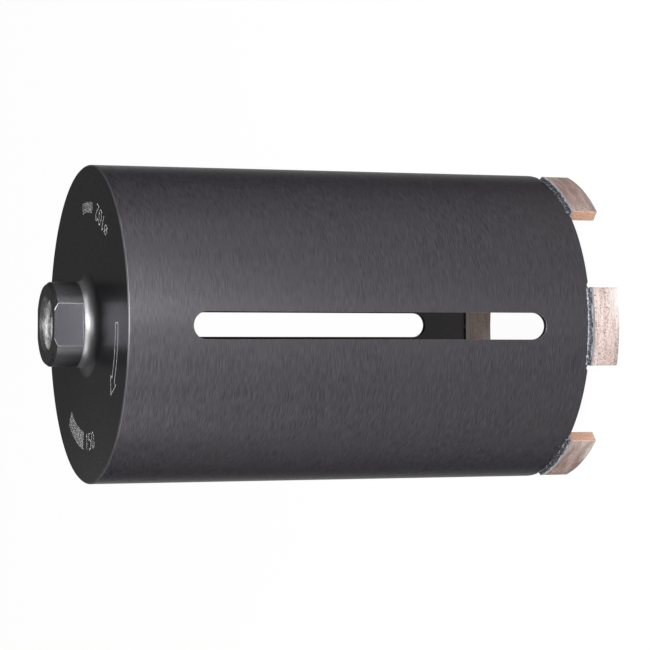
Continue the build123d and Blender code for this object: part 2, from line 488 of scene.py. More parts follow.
def coat_material(name, edge_tint, anisotropy, roughness):
    """Black oxide on turned steel: short strokes round the axis, dust, and edges worn to bare steel.

    The bore and its countersinks are bare, the hub is a little paler, its smoother root is painted
    paler as a highlight, the tube is darker inside, and the wrench flats have a milled grain of their
    own. The steel on the flange's broken edge is partly wear, partly painted highlight.
    """
    cap = bpy.context.scene.core_bit_cap
    hub = cap.hub_diameter / 2
    root_top = cap.back_z + cap.root_radius
    mid_wall = BARREL_RADIUS - bpy.context.scene.core_bit_barrel.wall / 2
    finish = Finish(name)
    radius, z = finish.radius, finish.axes["Z"]
    fine = finish.streaks(round_scale=17.0, along_scale=9500.0, detail=0.0)
    bands = finish.streaks(round_scale=3.0, along_scale=500.0)
    grain = finish.noise(scale=4500.0, detail=1.0)
    blotch = finish.noise(scale=30.0, detail=3.0)
    sideways = finish.arithmetic("ABSOLUTE", finish.axes["Y"])
    milled = finish.product(finish.inside(radius, 0.0, hub + SUPPORT),
                            finish.inside(sideways, cap.flat_width / 2 - 2 * SUPPORT, cap.hub_diameter),
                            finish.inside(z, HUB_END_Z - cap.flat_length + SUPPORT, HUB_END_Z))
    turned_hub = finish.product(finish.inside(z, root_top, HUB_END_Z + SUPPORT),
                                finish.below(radius, hub + SUPPORT))
    root = finish.product(
        finish.ranged(z, cap.back_z + cap.root_radius * 0.06, cap.back_z + cap.root_radius * 0.6),
        finish.inside(z, cap.back_z, root_top))
    within = finish.product(finish.below(finish.along, mid_wall + FLANGE_Z), finish.below(z, FLANGE_Z),
                            finish.below(radius, mid_wall))
    bare = finish.inside(radius, 0.0, THREAD_RADIUS + cap.bore_chamfer + SUPPORT)
    turned = finish.blended(0.13, finish.blended(0.05, fine, grain), bands)
    tone = finish.blended(milled, turned, grain)
    rough = finish.ranged(tone, 0.3, 0.7, roughness + 0.04, roughness - 0.04)
    colour = finish.layered(
        paint("coat"),
        (finish.ranged(tone, 0.32, 0.66), paint("coat_light")),
        (finish.ranged(blotch, 0.42, 0.62, 0.0, 0.35), paint("coat_warm")),
        (within, paint("coat_inside")),
        (turned_hub, finish.mixed(tone, paint("hub_dark"), paint("hub_light"))),
        # Painted highlight: the root is painted paler so that its lamp highlight is brighter
        (root, paint("root_painted_highlight")),
        (milled, finish.mixed(finish.ranged(grain, 0.3, 0.7), paint("milled"), paint("milled_light"))),
        (finish.product(finish.speckles(scale=1000.0, size=0.075, rarity=0.53), 0.55), paint("dust")),
        # Bare steel where the mesh carries wear; on the flange's broken edge it is partly painted highlight
        (finish.product(finish.wear, finish.ranged(grain, 0.35, 0.6, 0.6, 1.0)), paint("steel")),
        (bare, finish.mixed(finish.ranged(grain, 0.4, 0.6), paint("cut_dark"), paint("cut_light"))),
    )
    return finish.shade({
        "Base Color": colour,
        "Metallic": 0.9,
        "Roughness": finish.blended(milled, finish.blended(root, rough, 0.4), 0.2),
        "Specular IOR Level": 0.25,
        "Specular Tint": grey(edge_tint),
        "Normal": finish.relief(tone, strength=0.06, distance=0.02 * MM),
    } | finish.brushed(anisotropy))


def turned_coat():
    """The coat on the tube and the cap's turned sides."""
    return coat_material("black_turned_coat", edge_tint=0.34, anisotropy=0.6, roughness=0.35)


def faced_coat():
    """The coat on the cap's level faces, cut smooth enough to mirror the hub faintly."""
    return coat_material("black_faced_coat", edge_tint=0.75, anisotropy=0.2, roughness=0.33)


def thread_material():
    """Bare cut steel inside the bore, with short bright and dark smears."""
    finish = Finish("cut_thread_steel")
    smear = finish.streaks(round_scale=6.0, along_scale=2400.0, detail=3.0, roughness=0.7)
    patch = finish.noise(scale=700.0, detail=4.0)
    bright = finish.product(finish.ranged(smear, 0.35, 0.6), finish.ranged(patch, 0.35, 0.6))
    return finish.shade({
        "Base Color": finish.mixed(bright, paint("thread_dark"), paint("thread_light")),
        "Metallic": 0.7,
        "Roughness": finish.ranged(patch, 0.3, 0.7, 0.4, 0.65),
        "Normal": finish.relief(smear, strength=0.5, distance=0.06 * MM),
    })


def bronze_material():
    """Sintered bronze full of grit: pink and cream grains, grinding streaks, dark smears and raw ends.

    With n segments, a place at angle a lies on a segment's leading half where -sin(n a) is over
    nothing, and on its trailing half elsewhere. Near the tip the leading half is smoother and painted
    pale as a highlight, and the trailing half is painted darker as shade. Segments turned sideways
    (large |x|) and the segments' inner sides are painted darker as shade too.
    """
    segments = bpy.context.scene.core_bit_segments
    finish = Finish("diamond_bronze")
    grind = finish.streaks(round_scale=8.0, along_scale=2300.0, detail=3.0, roughness=0.65)
    grit = finish.noise(scale=2500.0, roughness=0.6)
    smear = finish.streaks(round_scale=5.0, along_scale=420.0)
    rows = finish.streaks(round_scale=4.0, along_scale=1900.0)
    way = finish.add("SeparateXYZ", {"Vector": finish.direction}).outputs
    turn = finish.product(finish.arithmetic("ARCTAN2", way["Y"], way["X"]), -float(SEGMENT_COUNT))
    lead = finish.arithmetic("SINE", turn)
    tip = finish.ranged(finish.axes["Z"], 0.48 * RIM_Z, 0.05 * RIM_Z)
    # Painted highlight: the leading half of each tip is painted pale, and made smoother
    polish_and_highlight = finish.product(tip, finish.ranged(lead, -0.1, 0.75), finish.ranged(grind, 0.35, 0.55, 0.6, 1.0))
    # Painted shade: segments turned sideways, with large |x|, are painted darker
    side_shade = finish.product(finish.ranged(finish.arithmetic("ABSOLUTE", way["X"]), 0.3, 0.85),
                          finish.ranged(smear, 0.36, 0.6, 0.35, 1.0), 0.86)
    # Painted shade on the segments' inner sides
    inner = finish.below(finish.radius, CUTTING_RADIUS - segments.width + 0.15 * MM)
    colour = finish.layered(
        paint("bronze_dark_and_shade"),
        (finish.ranged(grit, 0.36, 0.5), paint("bronze")),
        (finish.ranged(grind, 0.42, 0.62, 0.0, 0.5), paint("bronze_ground")),
        (finish.product(finish.ranged(rows, 0.5, 0.62), finish.ranged(grit, 0.5, 0.4)), paint("bronze_torn")),
        (finish.ranged(smear, 0.48, 0.66, 0.0, 0.4), paint("bronze_dark_and_shade")),
        # Painted shade on the trailing half of the tips
        (finish.product(tip, finish.ranged(lead, 0.3, -0.7, 0.0, 0.35)), paint("bronze_dark_and_shade")),
        # Painted highlight on the leading half of the tips
        (finish.product(polish_and_highlight, 0.9), paint("bronze_painted_highlight")),
        # Painted shade on segments turned sideways
        (side_shade, paint("bronze_dark_and_shade")),
        # Painted shade on the inner sides
        (finish.product(inner, 0.85), paint("bronze_inner_shade")),
        (finish.wear, finish.mixed(finish.ranged(grit, 0.35, 0.6), paint("bronze_raw"), paint("bronze_end"))),
        (finish.speckles(scale=900.0, size=0.18, rarity=0.5), paint("bronze_hole")),
    )
    height = finish.arithmetic("ADD", finish.product(grind, 0.6), grit)
    return finish.shade({
        "Base Color": colour,
        "Metallic": 0.8,
        "Roughness": finish.blended(polish_and_highlight, finish.ranged(grind, 0.3, 0.7, 0.48, 0.36), 0.24),
        "Specular Tint": paint("bronze_gloss"),
        "Normal": finish.relief(height, strength=0.45, distance=0.05 * MM),
    } | finish.brushed(0.6))


def foot_material():
    """Ground steel of the segments' feet, faintly blued by the weld and stained along it."""
    segments = bpy.context.scene.core_bit_segments
    finish = Finish("segment_foot_steel")
    lines = finish.streaks(round_scale=5.0, along_scale=3800.0, roughness=0.6)
    patch = finish.noise(scale=600.0, detail=3.0)
    edge = finish.arithmetic("ADD", finish.axes["Z"], finish.product(patch, 0.3 * MM))
    stain = finish.mixed(finish.ranged(patch, 0.4, 0.62), paint("foot_stain"), paint("foot_stain_light"))
    colour = finish.layered(
        paint("foot"),
        (finish.ranged(patch, 0.35, 0.6), paint("foot_blued")),
        (finish.ranged(lines, 0.4, 0.65, 0.0, 0.6), paint("foot_lines")),
        (finish.ranged(edge, RIM_Z - 0.42 * MM, RIM_Z - 0.32 * MM), stain),
        # Painted shade on the feet's inner sides
        (finish.below(finish.radius, CUTTING_RADIUS - segments.width + 0.05 * MM), paint("foot_inside_shade")),
    )
    return finish.shade({
        "Base Color": colour,
        "Metallic": 0.85,
        "Roughness": finish.ranged(lines, 0.3, 0.7, 0.3, 0.5),
        "Normal": finish.relief(lines, strength=0.5, distance=0.03 * MM),
    })


def weld_material():
    """Blue-black weld with brighter spatter, which the wear attribute marks."""
    finish = Finish("blued_weld")
    patch = finish.noise(scale=1400.0, detail=4.0)
    return finish.shade({
        "Base Color": finish.layered(paint("weld"), (finish.ranged(patch, 0.45, 0.62), paint("weld_light")),
                                     (finish.wear, paint("steel"))),
        "Metallic": 0.8,
        "Roughness": finish.ranged(patch, 0.3, 0.7, 0.36, 0.55),
        "Normal": finish.relief(patch, strength=0.6, distance=0.05 * MM),
    })


def mark_material():
    """Pale grey engraved lines, broken by the grain of the metal."""
    finish = Finish("engraved_mark")
    grain = finish.noise(scale=5200.0)
    return finish.shade({
        "Base Color": finish.mixed(finish.ranged(grain, 0.34, 0.5), paint("mark_broken"), paint("mark")),
        "Metallic": 0.1,
        "Roughness": finish.ranged(grain, 0.3, 0.7, 0.7, 0.5),
        "Normal": finish.relief(grain, strength=0.4, distance=0.03 * MM),
    })


def floor_material():
    """Pale floor that the camera, gloss and glass see as white, less the object's shadow."""
    glow = bpy.context.scene.core_bit_studio.floor_glow
    finish = Finish("studio_floor")
    finish.nodes.remove(finish.shader)
    matt = finish.add("BsdfDiffuse", {"Color": paint("floor")}).outputs["BSDF"]
    dimmed = finish.add("BsdfDiffuse", {"Color": grey(2 * (1.0 - glow))}).outputs["BSDF"]
    lit = finish.add("Emission", {"Color": grey(1.0), "Strength": glow}).outputs["Emission"]
    white = finish.add("AddShader", {0: dimmed, 1: lit}).outputs["Shader"]
    rays = finish.add("LightPath").outputs
    seen = finish.arithmetic("MAXIMUM", rays["Is Camera Ray"], rays["Is Glossy Ray"])
    seen = finish.arithmetic("MAXIMUM", seen, rays["Is Transmission Ray"])
    surface = finish.add("MixShader", {0: seen, 1: matt, 2: white}).outputs["Shader"]
    finish.link(surface, finish.output.inputs["Surface"])
    return finish.material


def shared_material(name, make):
    """The material of that name, made when it isn't there yet."""
    return bpy.data.materials.get(name) or make()


def dress(piece, material, slot, *nodes):
    """Gives a piece its finish and its body, and hides the solids that it stands for."""
    piece.data.materials.append(material)
    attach(piece, BODY)
    if nodes:
        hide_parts(*nodes)


# Barrel

def segment_angle(index):
    """Where a segment's middle lies round the axis, in radians."""
    return FRONT + index * 2 * math.pi / SEGMENT_COUNT


def segment_half_angle():
    """Half of the angle that a segment covers."""
    sizes = bpy.context.scene.core_bit_segments
    return sizes.length / 2 / (CUTTING_RADIUS - sizes.width / 2)


class Tube:
    """The slotted tube as a shell with one outer and one inner layer, joined round every edge."""

    SLOT_ANGLES = (FRONT, FRONT + math.pi)
    PATCH_HALF_ANGLE = math.radians(8.6)
    PATCH_MARGIN = 3.4 * MM
    PATCH_COLUMNS = 21
    PATCH_ROWS = 70
    PATCH_END = 6 * MM
    RING_COUNT = 7
    SIDE_COLUMNS = 190
    PLAIN_ROWS = 9
    NOTCH_ROWS = 7
    NOTCH_FADE = 2.5 * MM
    NOTCH_REACH = math.radians(1.3)
    SLOT_EDGE_WEAR = 0.35

    def __init__(self, sizes):
        self.sizes = sizes
        self.slot_low = RIM_Z + sizes.slot_rim_distance
        self.slot_high = SPIGOT_Z - sizes.slot_cap_distance
        self.patch_low = self.slot_low - self.PATCH_MARGIN
        self.patch_high = self.slot_high + self.PATCH_MARGIN
        self.patch_angles = np.linspace(-self.PATCH_HALF_ANGLE, self.PATCH_HALF_ANGLE, self.PATCH_COLUMNS)
        ends = (self.patch_low, self.patch_high)
        self.patch_rows = crowded(*ends, self.PATCH_ROWS, ends, self.PATCH_END, extra=3)
        notch_half = math.sqrt(sizes.notch_radius**2 - (sizes.notch_radius - sizes.notch_depth) ** 2)
        aside = segment_half_angle() + notch_half / (BARREL_RADIUS - sizes.wall)
        self.notches = [segment_angle(i) + side * aside for i in range(SEGMENT_COUNT) for side in (-1, 1)]

    def notch(self, angle):
        """How far the rim is cut back: a circle's arc, sqrt(R^2 - s^2) - (R - depth), within each notch."""
        depth = np.zeros_like(angle)
        for middle in self.notches:
            turn = (angle - middle + math.pi) % (2 * math.pi) - math.pi
            across = turn * (BARREL_RADIUS - self.sizes.wall / 2)
            arc = np.sqrt(np.maximum(self.sizes.notch_radius**2 - across**2, 0.0))
            arc -= self.sizes.notch_radius - self.sizes.notch_depth
            depth = np.maximum(depth, arc)
        return depth

    def lifted(self, angle, z):
        """Heights with the rim's notches worked in: z + notch * (1 - (z - rim) / fade), or z over that."""
        fade = np.clip(1 - (z - RIM_Z) / self.NOTCH_FADE, 0, 1)
        return z + self.notch(angle) * fade

    def side_angles(self, slot):
        """Columns between two slots, crowded at the notches."""
        start = slot + self.PATCH_HALF_ANGLE
        end = slot + math.pi - self.PATCH_HALF_ANGLE
        near = [middle + turn for middle in self.notches for turn in (-2 * math.pi, 0, 2 * math.pi)]
        near = [angle for angle in near if start < angle < end]
        return crowded(start, end, self.SIDE_COLUMNS, near, self.NOTCH_REACH, extra=9)

    def layer(self, radius):
        """One cylinder of the shell: plain grids where it is whole, rings of faces round the slots."""
        start = RIM_Z + self.sizes.edge
        low = np.concatenate([[start], start + np.linspace(SUPPORT, self.NOTCH_FADE, self.NOTCH_ROWS),
                              np.linspace(RIM_Z + self.NOTCH_FADE + 1 * MM, self.patch_low, self.PLAIN_ROWS)])
        high = np.linspace(self.patch_high, FLANGE_Z, self.PLAIN_ROWS)
        whole = np.concatenate([low, self.patch_rows[1:-1], high])
        grids = []
        for slot in self.SLOT_ANGLES:
            across = slot + self.patch_angles
            grids += [self.plain(radius, self.side_angles(slot), whole), self.plain(radius, across, low),
                      self.plain(radius, across, high), self.slot_surround(radius, slot)]
        return grids

    def plain(self, radius, angles, rows):
        """A grid on the cylinder."""
        angle, z = np.meshgrid(angles, rows)
        return with_wear(polar(radius, angle, self.lifted(angle, z)))

    def patch_border(self, radius):
        """The rectangle round a slot as (x across, z) pairs, once round, closed."""
        across = radius * np.sin(self.patch_angles)
        rows = self.patch_rows
        side, level = np.ones(len(rows) - 1), np.ones(len(across) - 1)
        x = np.concatenate([across, side * across[-1], across[-2::-1], side * across[0]])
        z = np.concatenate([rows[:1], level * rows[0], rows[1:], level * rows[-1], rows[-2::-1]])
        return x, z

    def slot_outline(self, radius, offset):
        """The slot's outline grown by offset: each border point drawn in to the nearest point of it."""
        x, z = self.patch_border(radius)
        half = self.sizes.slot_width / 2
        middle = np.clip(z, self.slot_low + half, self.slot_high - half)
        away = np.hypot(x, z - middle)
        return x / away * (half + offset), middle + (z - middle) / away * (half + offset)

    def on_cylinder(self, radius, slot, x, z):
        """Points at x across and height z: out = sqrt(r^2 - x^2) along the slot's own direction."""
        out = np.sqrt(radius**2 - x**2)
        return np.stack([out * math.cos(slot) - x * math.sin(slot),
                         out * math.sin(slot) + x * math.cos(slot), z], -1)

    def slot_surround(self, radius, slot):
        """Rings between the rectangle and the slot: border * (1 - t) + slot * t, t from 0 to 1."""
        border_x, border_z = self.patch_border(radius)
        slot_x, slot_z = self.slot_outline(radius, self.sizes.edge)
        t = np.linspace(0, 1, self.RING_COUNT)[:-1] ** 0.8
        t = np.append(t, [1 - SUPPORT / self.PATCH_MARGIN, 1.0])[:, None]
        x = border_x * (1 - t) + slot_x * t
        z = border_z * (1 - t) + slot_z * t
        return with_wear(self.on_cylinder(radius, slot, x, z))

    def edge_steps(self):
        """(offset, depth) pairs across the wall: a quarter circle, straight, a quarter circle."""
        edge, wall = self.sizes.edge, self.sizes.wall
        turn = np.linspace(0, math.pi / 2, 4)
        first = np.stack([edge * (1 - np.sin(turn)), edge * (1 - np.cos(turn))], -1)
        last = np.stack([edge * (1 - np.cos(turn)), wall - edge * (1 - np.sin(turn))], -1)
        return np.concatenate([first, last])

    def slot_wall(self, slot):
        """The slot's cut faces, from the outer surface through to the inner one.

        They are worn where depth d is near half the rounding e: exp(-6 (d / e - 1/2)^2).
        """
        steps = self.edge_steps()
        rows = [self.on_cylinder(radius, slot, *self.slot_outline(radius, offset))
                for offset, radius in zip(steps[:, 0], BARREL_RADIUS - steps[:, 1])]
        near = np.exp(-(steps[:, 1:] / self.sizes.edge - 0.5) ** 2 * 6)
        return with_wear(np.array(rows), self.SLOT_EDGE_WEAR * near)

    def end_angles(self):
        """Columns of the tube's two ends, part by part round it."""
        return [angles for slot in self.SLOT_ANGLES
                for angles in (self.side_angles(slot), slot + self.patch_angles)]

    def rim(self):
        """The rim's cut face with its notches, rounded at both edges."""
        offset, depth = self.edge_steps().T[..., None]
        return [with_wear(polar(BARREL_RADIUS - depth, angles, self.lifted(angles[None, :], RIM_Z + offset)))
                for angles in self.end_angles()]

    def top(self):
        """The flat end that the flange sits on."""
        radius = np.array([[BARREL_RADIUS], [BARREL_RADIUS - self.sizes.wall]])
        return [with_wear(polar(radius, angles, FLANGE_Z)) for angles in self.end_angles()]

    def grids(self):
        """All grids of the tube."""
        both = self.layer(BARREL_RADIUS) + self.layer(BARREL_RADIUS - self.sizes.wall)
        return both + [self.slot_wall(slot) for slot in self.SLOT_ANGLES] + self.rim() + self.top()


class COREBIT_OT_barrel(bpy.types.Operator):
    """Builds the slotted tube with its notched rim"""
    bl_idname = "corebit.barrel"
    bl_label = "Barrel"

    def execute(self, context):
        tube = Tube(context.scene.core_bit_barrel)
        piece = grid_mesh("barrel_tube", tube.grids())
        dress(piece, shared_material("black_turned_coat", turned_coat), "coated_steel", "barrel")
        return {"FINISHED"}


# End cap

CAP_COLUMNS = 300
END_FACE_ROWS = 7
SOFT = 0.035 * MM  # Round between the hub's side and its flats
FLAT_MARGIN = 0.06  # How far inside a flat's edge the columns crowd, in radians
FLAT_EDGE_REACH = 0.09 * MM
FLAT_EDGE_WEAR = 0.3
FLAT_FOOT_WEAR = 0.5
# Steel on the flange's broken edge: partly wear, partly painted highlight
FLANGE_EDGE_WEAR_AND_HIGHLIGHT = 0.38
LEVEL = 1e-7  # Heights closer than this are the same
THREAD_COLUMNS = 72  # To a turn
THREAD_NIP = 0.08 * MM  # Rounding at the corners of the crest
THREAD_SINK = 0.01 * MM  # How deep the ridge's foot lies in the bore's wall
THREAD_START = 0.02  # The ridge's height at its two ends, as a share of the whole


def cap_profile(sizes):
    """The turned section in four outlines of (r, z) points, from the bore's middle round to it again."""
    hub = sizes.hub_diameter / 2
    bore = THREAD_RADIUS
    wide = bore + sizes.bore_chamfer
    spigot = BARREL_RADIUS - bpy.context.scene.core_bit_barrel.wall - sizes.spigot_clearance
    edge = sizes.edge
    inside = rounded_profile([
        (bore, (SPIGOT_Z + HUB_END_Z) / 2, 0),
        (bore, HUB_END_Z - sizes.bore_chamfer, edge),
        (wide, HUB_END_Z, edge),
        ((wide + hub) / 2, HUB_END_Z, 0),
    ])
    end = rounded_profile([
        ((wide + hub) / 2, HUB_END_Z, 0),
        (hub - sizes.end_chamfer_width, HUB_END_Z, edge),
        (hub, HUB_END_Z - sizes.end_chamfer_height, edge),
        (hub, HUB_END_Z - sizes.flat_length, 0),
    ])
    outside = rounded_profile([
        (hub, HUB_END_Z - sizes.flat_length, 0),
        (hub, sizes.back_z, sizes.root_radius),
        (BARREL_RADIUS - sizes.flange_chamfer, sizes.back_z, sizes.flange_edge),
        (BARREL_RADIUS, sizes.back_z - sizes.flange_chamfer, sizes.flange_edge),
        (BARREL_RADIUS, FLANGE_Z, 0),
    ], steps=9)
    under = rounded_profile([
        (BARREL_RADIUS, FLANGE_Z, 0),
        (spigot, FLANGE_Z, 0),
        (spigot, SPIGOT_Z + sizes.spigot_chamfer, edge),
        (spigot - sizes.spigot_chamfer, SPIGOT_Z, edge),
        (wide, SPIGOT_Z, edge),
        (bore, SPIGOT_Z + sizes.bore_chamfer, edge),
        (bore, (SPIGOT_Z + HUB_END_Z) / 2, 0),
    ])
    return inside, end, outside, under


def spread_rows(outline, step):
    """The outline with points added so that no two are further apart than step."""
    rows = [outline[:1]]
    for a, b in zip(outline[:-1], outline[1:]):
        count = max(1, math.ceil(np.linalg.norm(b - a) / step))
        t = np.linspace(0, 1, count + 1)[1:, None]
        rows.append(a * (1 - t) + b * t)
    return np.concatenate(rows)


def softly_limited(value, limit):
    """value, held under limit with a small round: limit - s ln(1 + exp((limit - value) / s))."""
    return limit - SOFT * np.logaddexp(0.0, (limit - value) / SOFT)


def cap_grids(sizes):
    """Turned grids (r cos a, r sin a, z) of the cap, with |y| held to half the flat width on the hub.

    On the hub's end face the radius runs only to the flats, so that no face folds over. A flat's
    edge is worn by exp(-((|y| before the cut - half) / reach)^2).
    """
    half, hub = sizes.flat_width / 2, sizes.hub_diameter / 2
    quarter, first = math.pi / 2, math.asin(half / hub)
    centres = [side * (quarter + turn * (quarter - first - FLAT_MARGIN))
               for side in (-1, 1) for turn in (-1, 1)]
    angles = crowded(-math.pi, math.pi, CAP_COLUMNS, centres, math.radians(6), extra=3.0)
    across = np.maximum(np.abs(np.sin(angles)), 1e-6)
    inside, end, outside, under = cap_profile(sizes)

    def turned(outline, step, wear=0.0):
        rows = spread_rows(outline, step)
        return with_wear(polar(rows[:, :1], angles, rows[:, 1:]), wear)

    foot_z = HUB_END_Z - sizes.flat_length
    shoulder = spread_rows(np.concatenate([end[:-1], [[hub, foot_z + SUPPORT]], end[-1:]]), 0.25 * MM)
    level = shoulder[:, 1] >= HUB_END_Z - LEVEL
    start, stop = shoulder[level][[0, -1], 0]
    reach = np.minimum(stop, half / across)
    t = np.linspace(0, 1, END_FACE_ROWS)[:, None]
    end_face = with_wear(polar(start + (reach - start) * t, angles, HUB_END_Z))
    rows = np.concatenate([[[stop, HUB_END_Z]], shoulder[~level]])
    side = polar(rows[:, :1], angles, rows[:, 1:])
    y = side[..., 1].copy()
    side[..., 1] = np.sign(y) * softly_limited(np.abs(y), half)
    side[0, :, :2] = np.stack([reach * np.cos(angles), reach * np.sin(angles)], -1)
    worn = FLAT_EDGE_WEAR * np.exp(-(((np.abs(y) - half) / FLAT_EDGE_REACH) ** 2))
    worn[:, across < 0.5] = 0.0
    worn[-1] = np.where(across * hub > half, FLAT_FOOT_WEAR, 0.0)
    foot = polar(hub, angles[None, :], foot_z)
    ledge = np.concatenate([side[-1:], side[-1:] * 0.6 + foot * 0.4, foot])
    flange = spread_rows(outside, 2.5 * MM)
    off_side, off_back = BARREL_RADIUS - flange[:, :1], sizes.back_z - flange[:, 1:]
    on_edge = (off_side > SUPPORT / 2) & (off_back > SUPPORT / 2) & (off_side < sizes.flange_chamfer)
    return [
        turned(inside, 1.5 * MM),
        end_face,
        with_wear(side, worn),
        with_wear(ledge, worn[-1] * [[1.0], [0.2], [0.5]]),
        # The flange's broken edge carries wear that is partly painted highlight
        turned(outside, 2.5 * MM, FLANGE_EDGE_WEAR_AND_HIGHLIGHT * on_edge),
        turned(under, 3 * MM),
    ]


def face_vectors(mesh, kind):
    """The normal or the center of every face, as x, y and z."""
    values = np.empty(3 * len(mesh.polygons), np.float32)
    mesh.polygons.foreach_get(kind, values)
    return values.reshape(-1, 3).T


class COREBIT_OT_end_cap(bpy.types.Operator):
    """Builds the turned end cap with its hub, wrench flats and bore"""
    bl_idname = "corebit.end_cap"
    bl_label = "End cap"

    def execute(self, context):
        sizes = context.scene.core_bit_cap
        piece = grid_mesh("cap_turning", cap_grids(sizes))
        dress(piece, shared_material("black_turned_coat", turned_coat), "coated_steel", "end_cap")
        piece.data.materials.append(shared_material("black_faced_coat", faced_coat))
        x, y, z = face_vectors(piece.data, "center")
        upward = face_vectors(piece.data, "normal")[2]
        on_face = (upward > 0.01) & (np.hypot(x, y) < BARREL_RADIUS - sizes.flange_chamfer)
        faced = on_face & ((z < sizes.back_z + sizes.root_radius) | (upward > 0.98))
        piece.data.polygons.foreach_set("material_index", faced.astype(np.int32))
        return {"FINISHED"}


def thread_grids(sizes, cap):
    """The thread's ridge, a trapezoid carried along a helix.

    A point is (R(u) cos t, R(u) sin t, start + pitch t / 2 pi + w(u)), where u runs round the
    trapezoid, and its height fades in and out over the first and last half turn.
    """
    bottom = SPIGOT_Z + cap.bore_chamfer
    top = HUB_END_Z - cap.bore_chamfer
    base = (sizes.pitch - sizes.root) / 2
    turns = (top - bottom - 2 * base) / sizes.pitch
    t = np.linspace(0, 2 * math.pi * turns, int(turns * THREAD_COLUMNS) + 1)
    fade = np.minimum(1.0, np.minimum(t, t[-1] - t) / math.pi)
    fade = THREAD_START + (1 - THREAD_START) * np.sin(fade * math.pi / 2)
    crest = sizes.crest / 2
    outer, inner = crest + THREAD_NIP * 0.6, crest - THREAD_NIP
    across = np.array([-base, -outer, -inner, 0.0, inner, outer, base, 0.0])
    height = np.array([0.0, 0.9, 1.0, 1.0, 1.0, 0.9, 0.0, -0.03]) * sizes.depth
    across = np.append(across, across[0])[:, None]
    height = np.append(height, height[0])[:, None]
    radius = THREAD_RADIUS + THREAD_SINK - height * fade
    z = bottom + base + sizes.pitch * t / (2 * math.pi) + across
    ridge = polar(radius, t[None, :], z)
    ends = [np.stack([end, np.broadcast_to(end.mean(0), end.shape)]) for end in (ridge[:, 0], ridge[:, -1])]
    return [with_wear(grid) for grid in (ridge, *ends)]


class COREBIT_OT_thread(bpy.types.Operator):
    """Builds the hub's internal thread"""
    bl_idname = "corebit.thread"
    bl_label = "Thread"

    def execute(self, context):
        scene = context.scene
        ridge = thread_grids(scene.core_bit_thread, scene.core_bit_cap)
        piece = grid_mesh("hub_thread", ridge, sharp_degrees=25.0)
        dress(piece, shared_material("cut_thread_steel", thread_material), "bare_steel")
        return {"FINISHED"}


# Segments and welds

MATRIX_FACES = (108, 18, 38)  # Along, through and up a segment
FOOT_FACES = (72, 14, 10)
MATRIX_SEED, BEAD_SEED, DROP_SEED = 100, 300, 500
GRAIN_LENGTH = 0.55 * MM
WORN_LENGTH = 3.5 * MM
FLAT_TOP = 0.4 * MM  # How far under the foot a segment isn't roughened
END_WEAR_REACH, END_WEAR_FADE = 0.3 * MM, 0.2 * MM
PIT_SHARES = (0.05, 0.65, 0.3)  # On the ends, on the curved sides, and at the tip and the foot
PIT_OUTER_SHARE = 0.6
PIT_SPREAD = (0.14 * MM, 0.34 * MM)
BEAD_COLUMNS, BEAD_ROWS = 260, 9
BEAD_DRIFT_LENGTH, BEAD_HEIGHT_LENGTH = 4 * MM, 2.2 * MM
BEAD_SINK = 0.02 * MM  # How deep a bead's root lies in the tube
BEAD_END = 0.012  # Where a bead fades out at each end, in radians
DROP_ROWS, DROP_COLUMNS = 7, 11
DROP_LOWEST, DROP_SCATTER, DROP_HIGHEST = -0.6 * MM, 0.4 * MM, 2.2 * MM  # From the bead's upper edge
DROP_STRETCH = (0.7, 1.4)


def block_sides(counts):
    """The six sides of a block of unit coordinates as grids (rows, columns, 3), each 0 to 1."""
    sides = []
    for axis in range(3):
        one, two = [other for other in range(3) if other != axis]
        steps = [np.linspace(0, 1, counts[other] + 1) for other in (one, two)]
        a, b = np.meshgrid(*steps, indexing="ij")
        for end in (0.0, 1.0):
            side = np.empty((*a.shape, 3))
            side[..., axis] = end
            side[..., one] = a
            side[..., two] = b
            sides.append(side)
    return sides


def rounded_block(unit, low, high, radius):
    """Block points with round edges: q + radius * (p - q) / |p - q|, q being p held radius inside."""
    p = low + unit * (high - low)
    q = np.clip(p, low + radius, high - radius)
    away = p - q
    size = np.linalg.norm(away, axis=-1, keepdims=True)
    return q + away / np.maximum(size, TINY) * radius


def bent(block, middle):
    """Block points (u along, v radial, w up) laid round the axis: angle = middle + u / middle radius."""
    sizes = bpy.context.scene.core_bit_segments
    middle_radius = CUTTING_RADIUS - sizes.width / 2
    return polar(block[..., 1], middle + block[..., 0] / middle_radius, block[..., 2])


def waves(points, rng, size, count=24):
    """Smooth noise of about -1 to 1: the mean of sines of random directions, lengths near size."""
    direction = rng.normal(size=(count, 3))
    direction /= np.linalg.norm(direction, axis=1, keepdims=True)
    number = 2 * math.pi / size * rng.uniform(0.6, 1.6, count)
    phase = rng.uniform(0, 2 * math.pi, count)
    return np.sin(points @ (direction * number[:, None]).T + phase).mean(-1) * math.sqrt(count) / 2


def pits(points, low, high, rng, sizes):
    """Depth of torn-out grains: the sum of d exp(-(distance / s)^2) over random places on the block."""
    places = low + rng.uniform(size=(sizes.pit_count, 3)) * (high - low)
    side = rng.choice(3, sizes.pit_count, p=PIT_SHARES)
    ends = np.where(rng.uniform(size=sizes.pit_count) < PIT_OUTER_SHARE, high[side], low[side])
    places[np.arange(sizes.pit_count), side] = ends
    depth = sizes.pit_depth * rng.uniform(0.15, 1.0, sizes.pit_count) ** 2
    spread = rng.uniform(*PIT_SPREAD, sizes.pit_count)
    total = np.zeros(points.shape[:-1])
    for place, d, s in zip(places, depth, spread):
        total += d * np.exp(-((points - place) ** 2).sum(-1) / s**2)
    return total


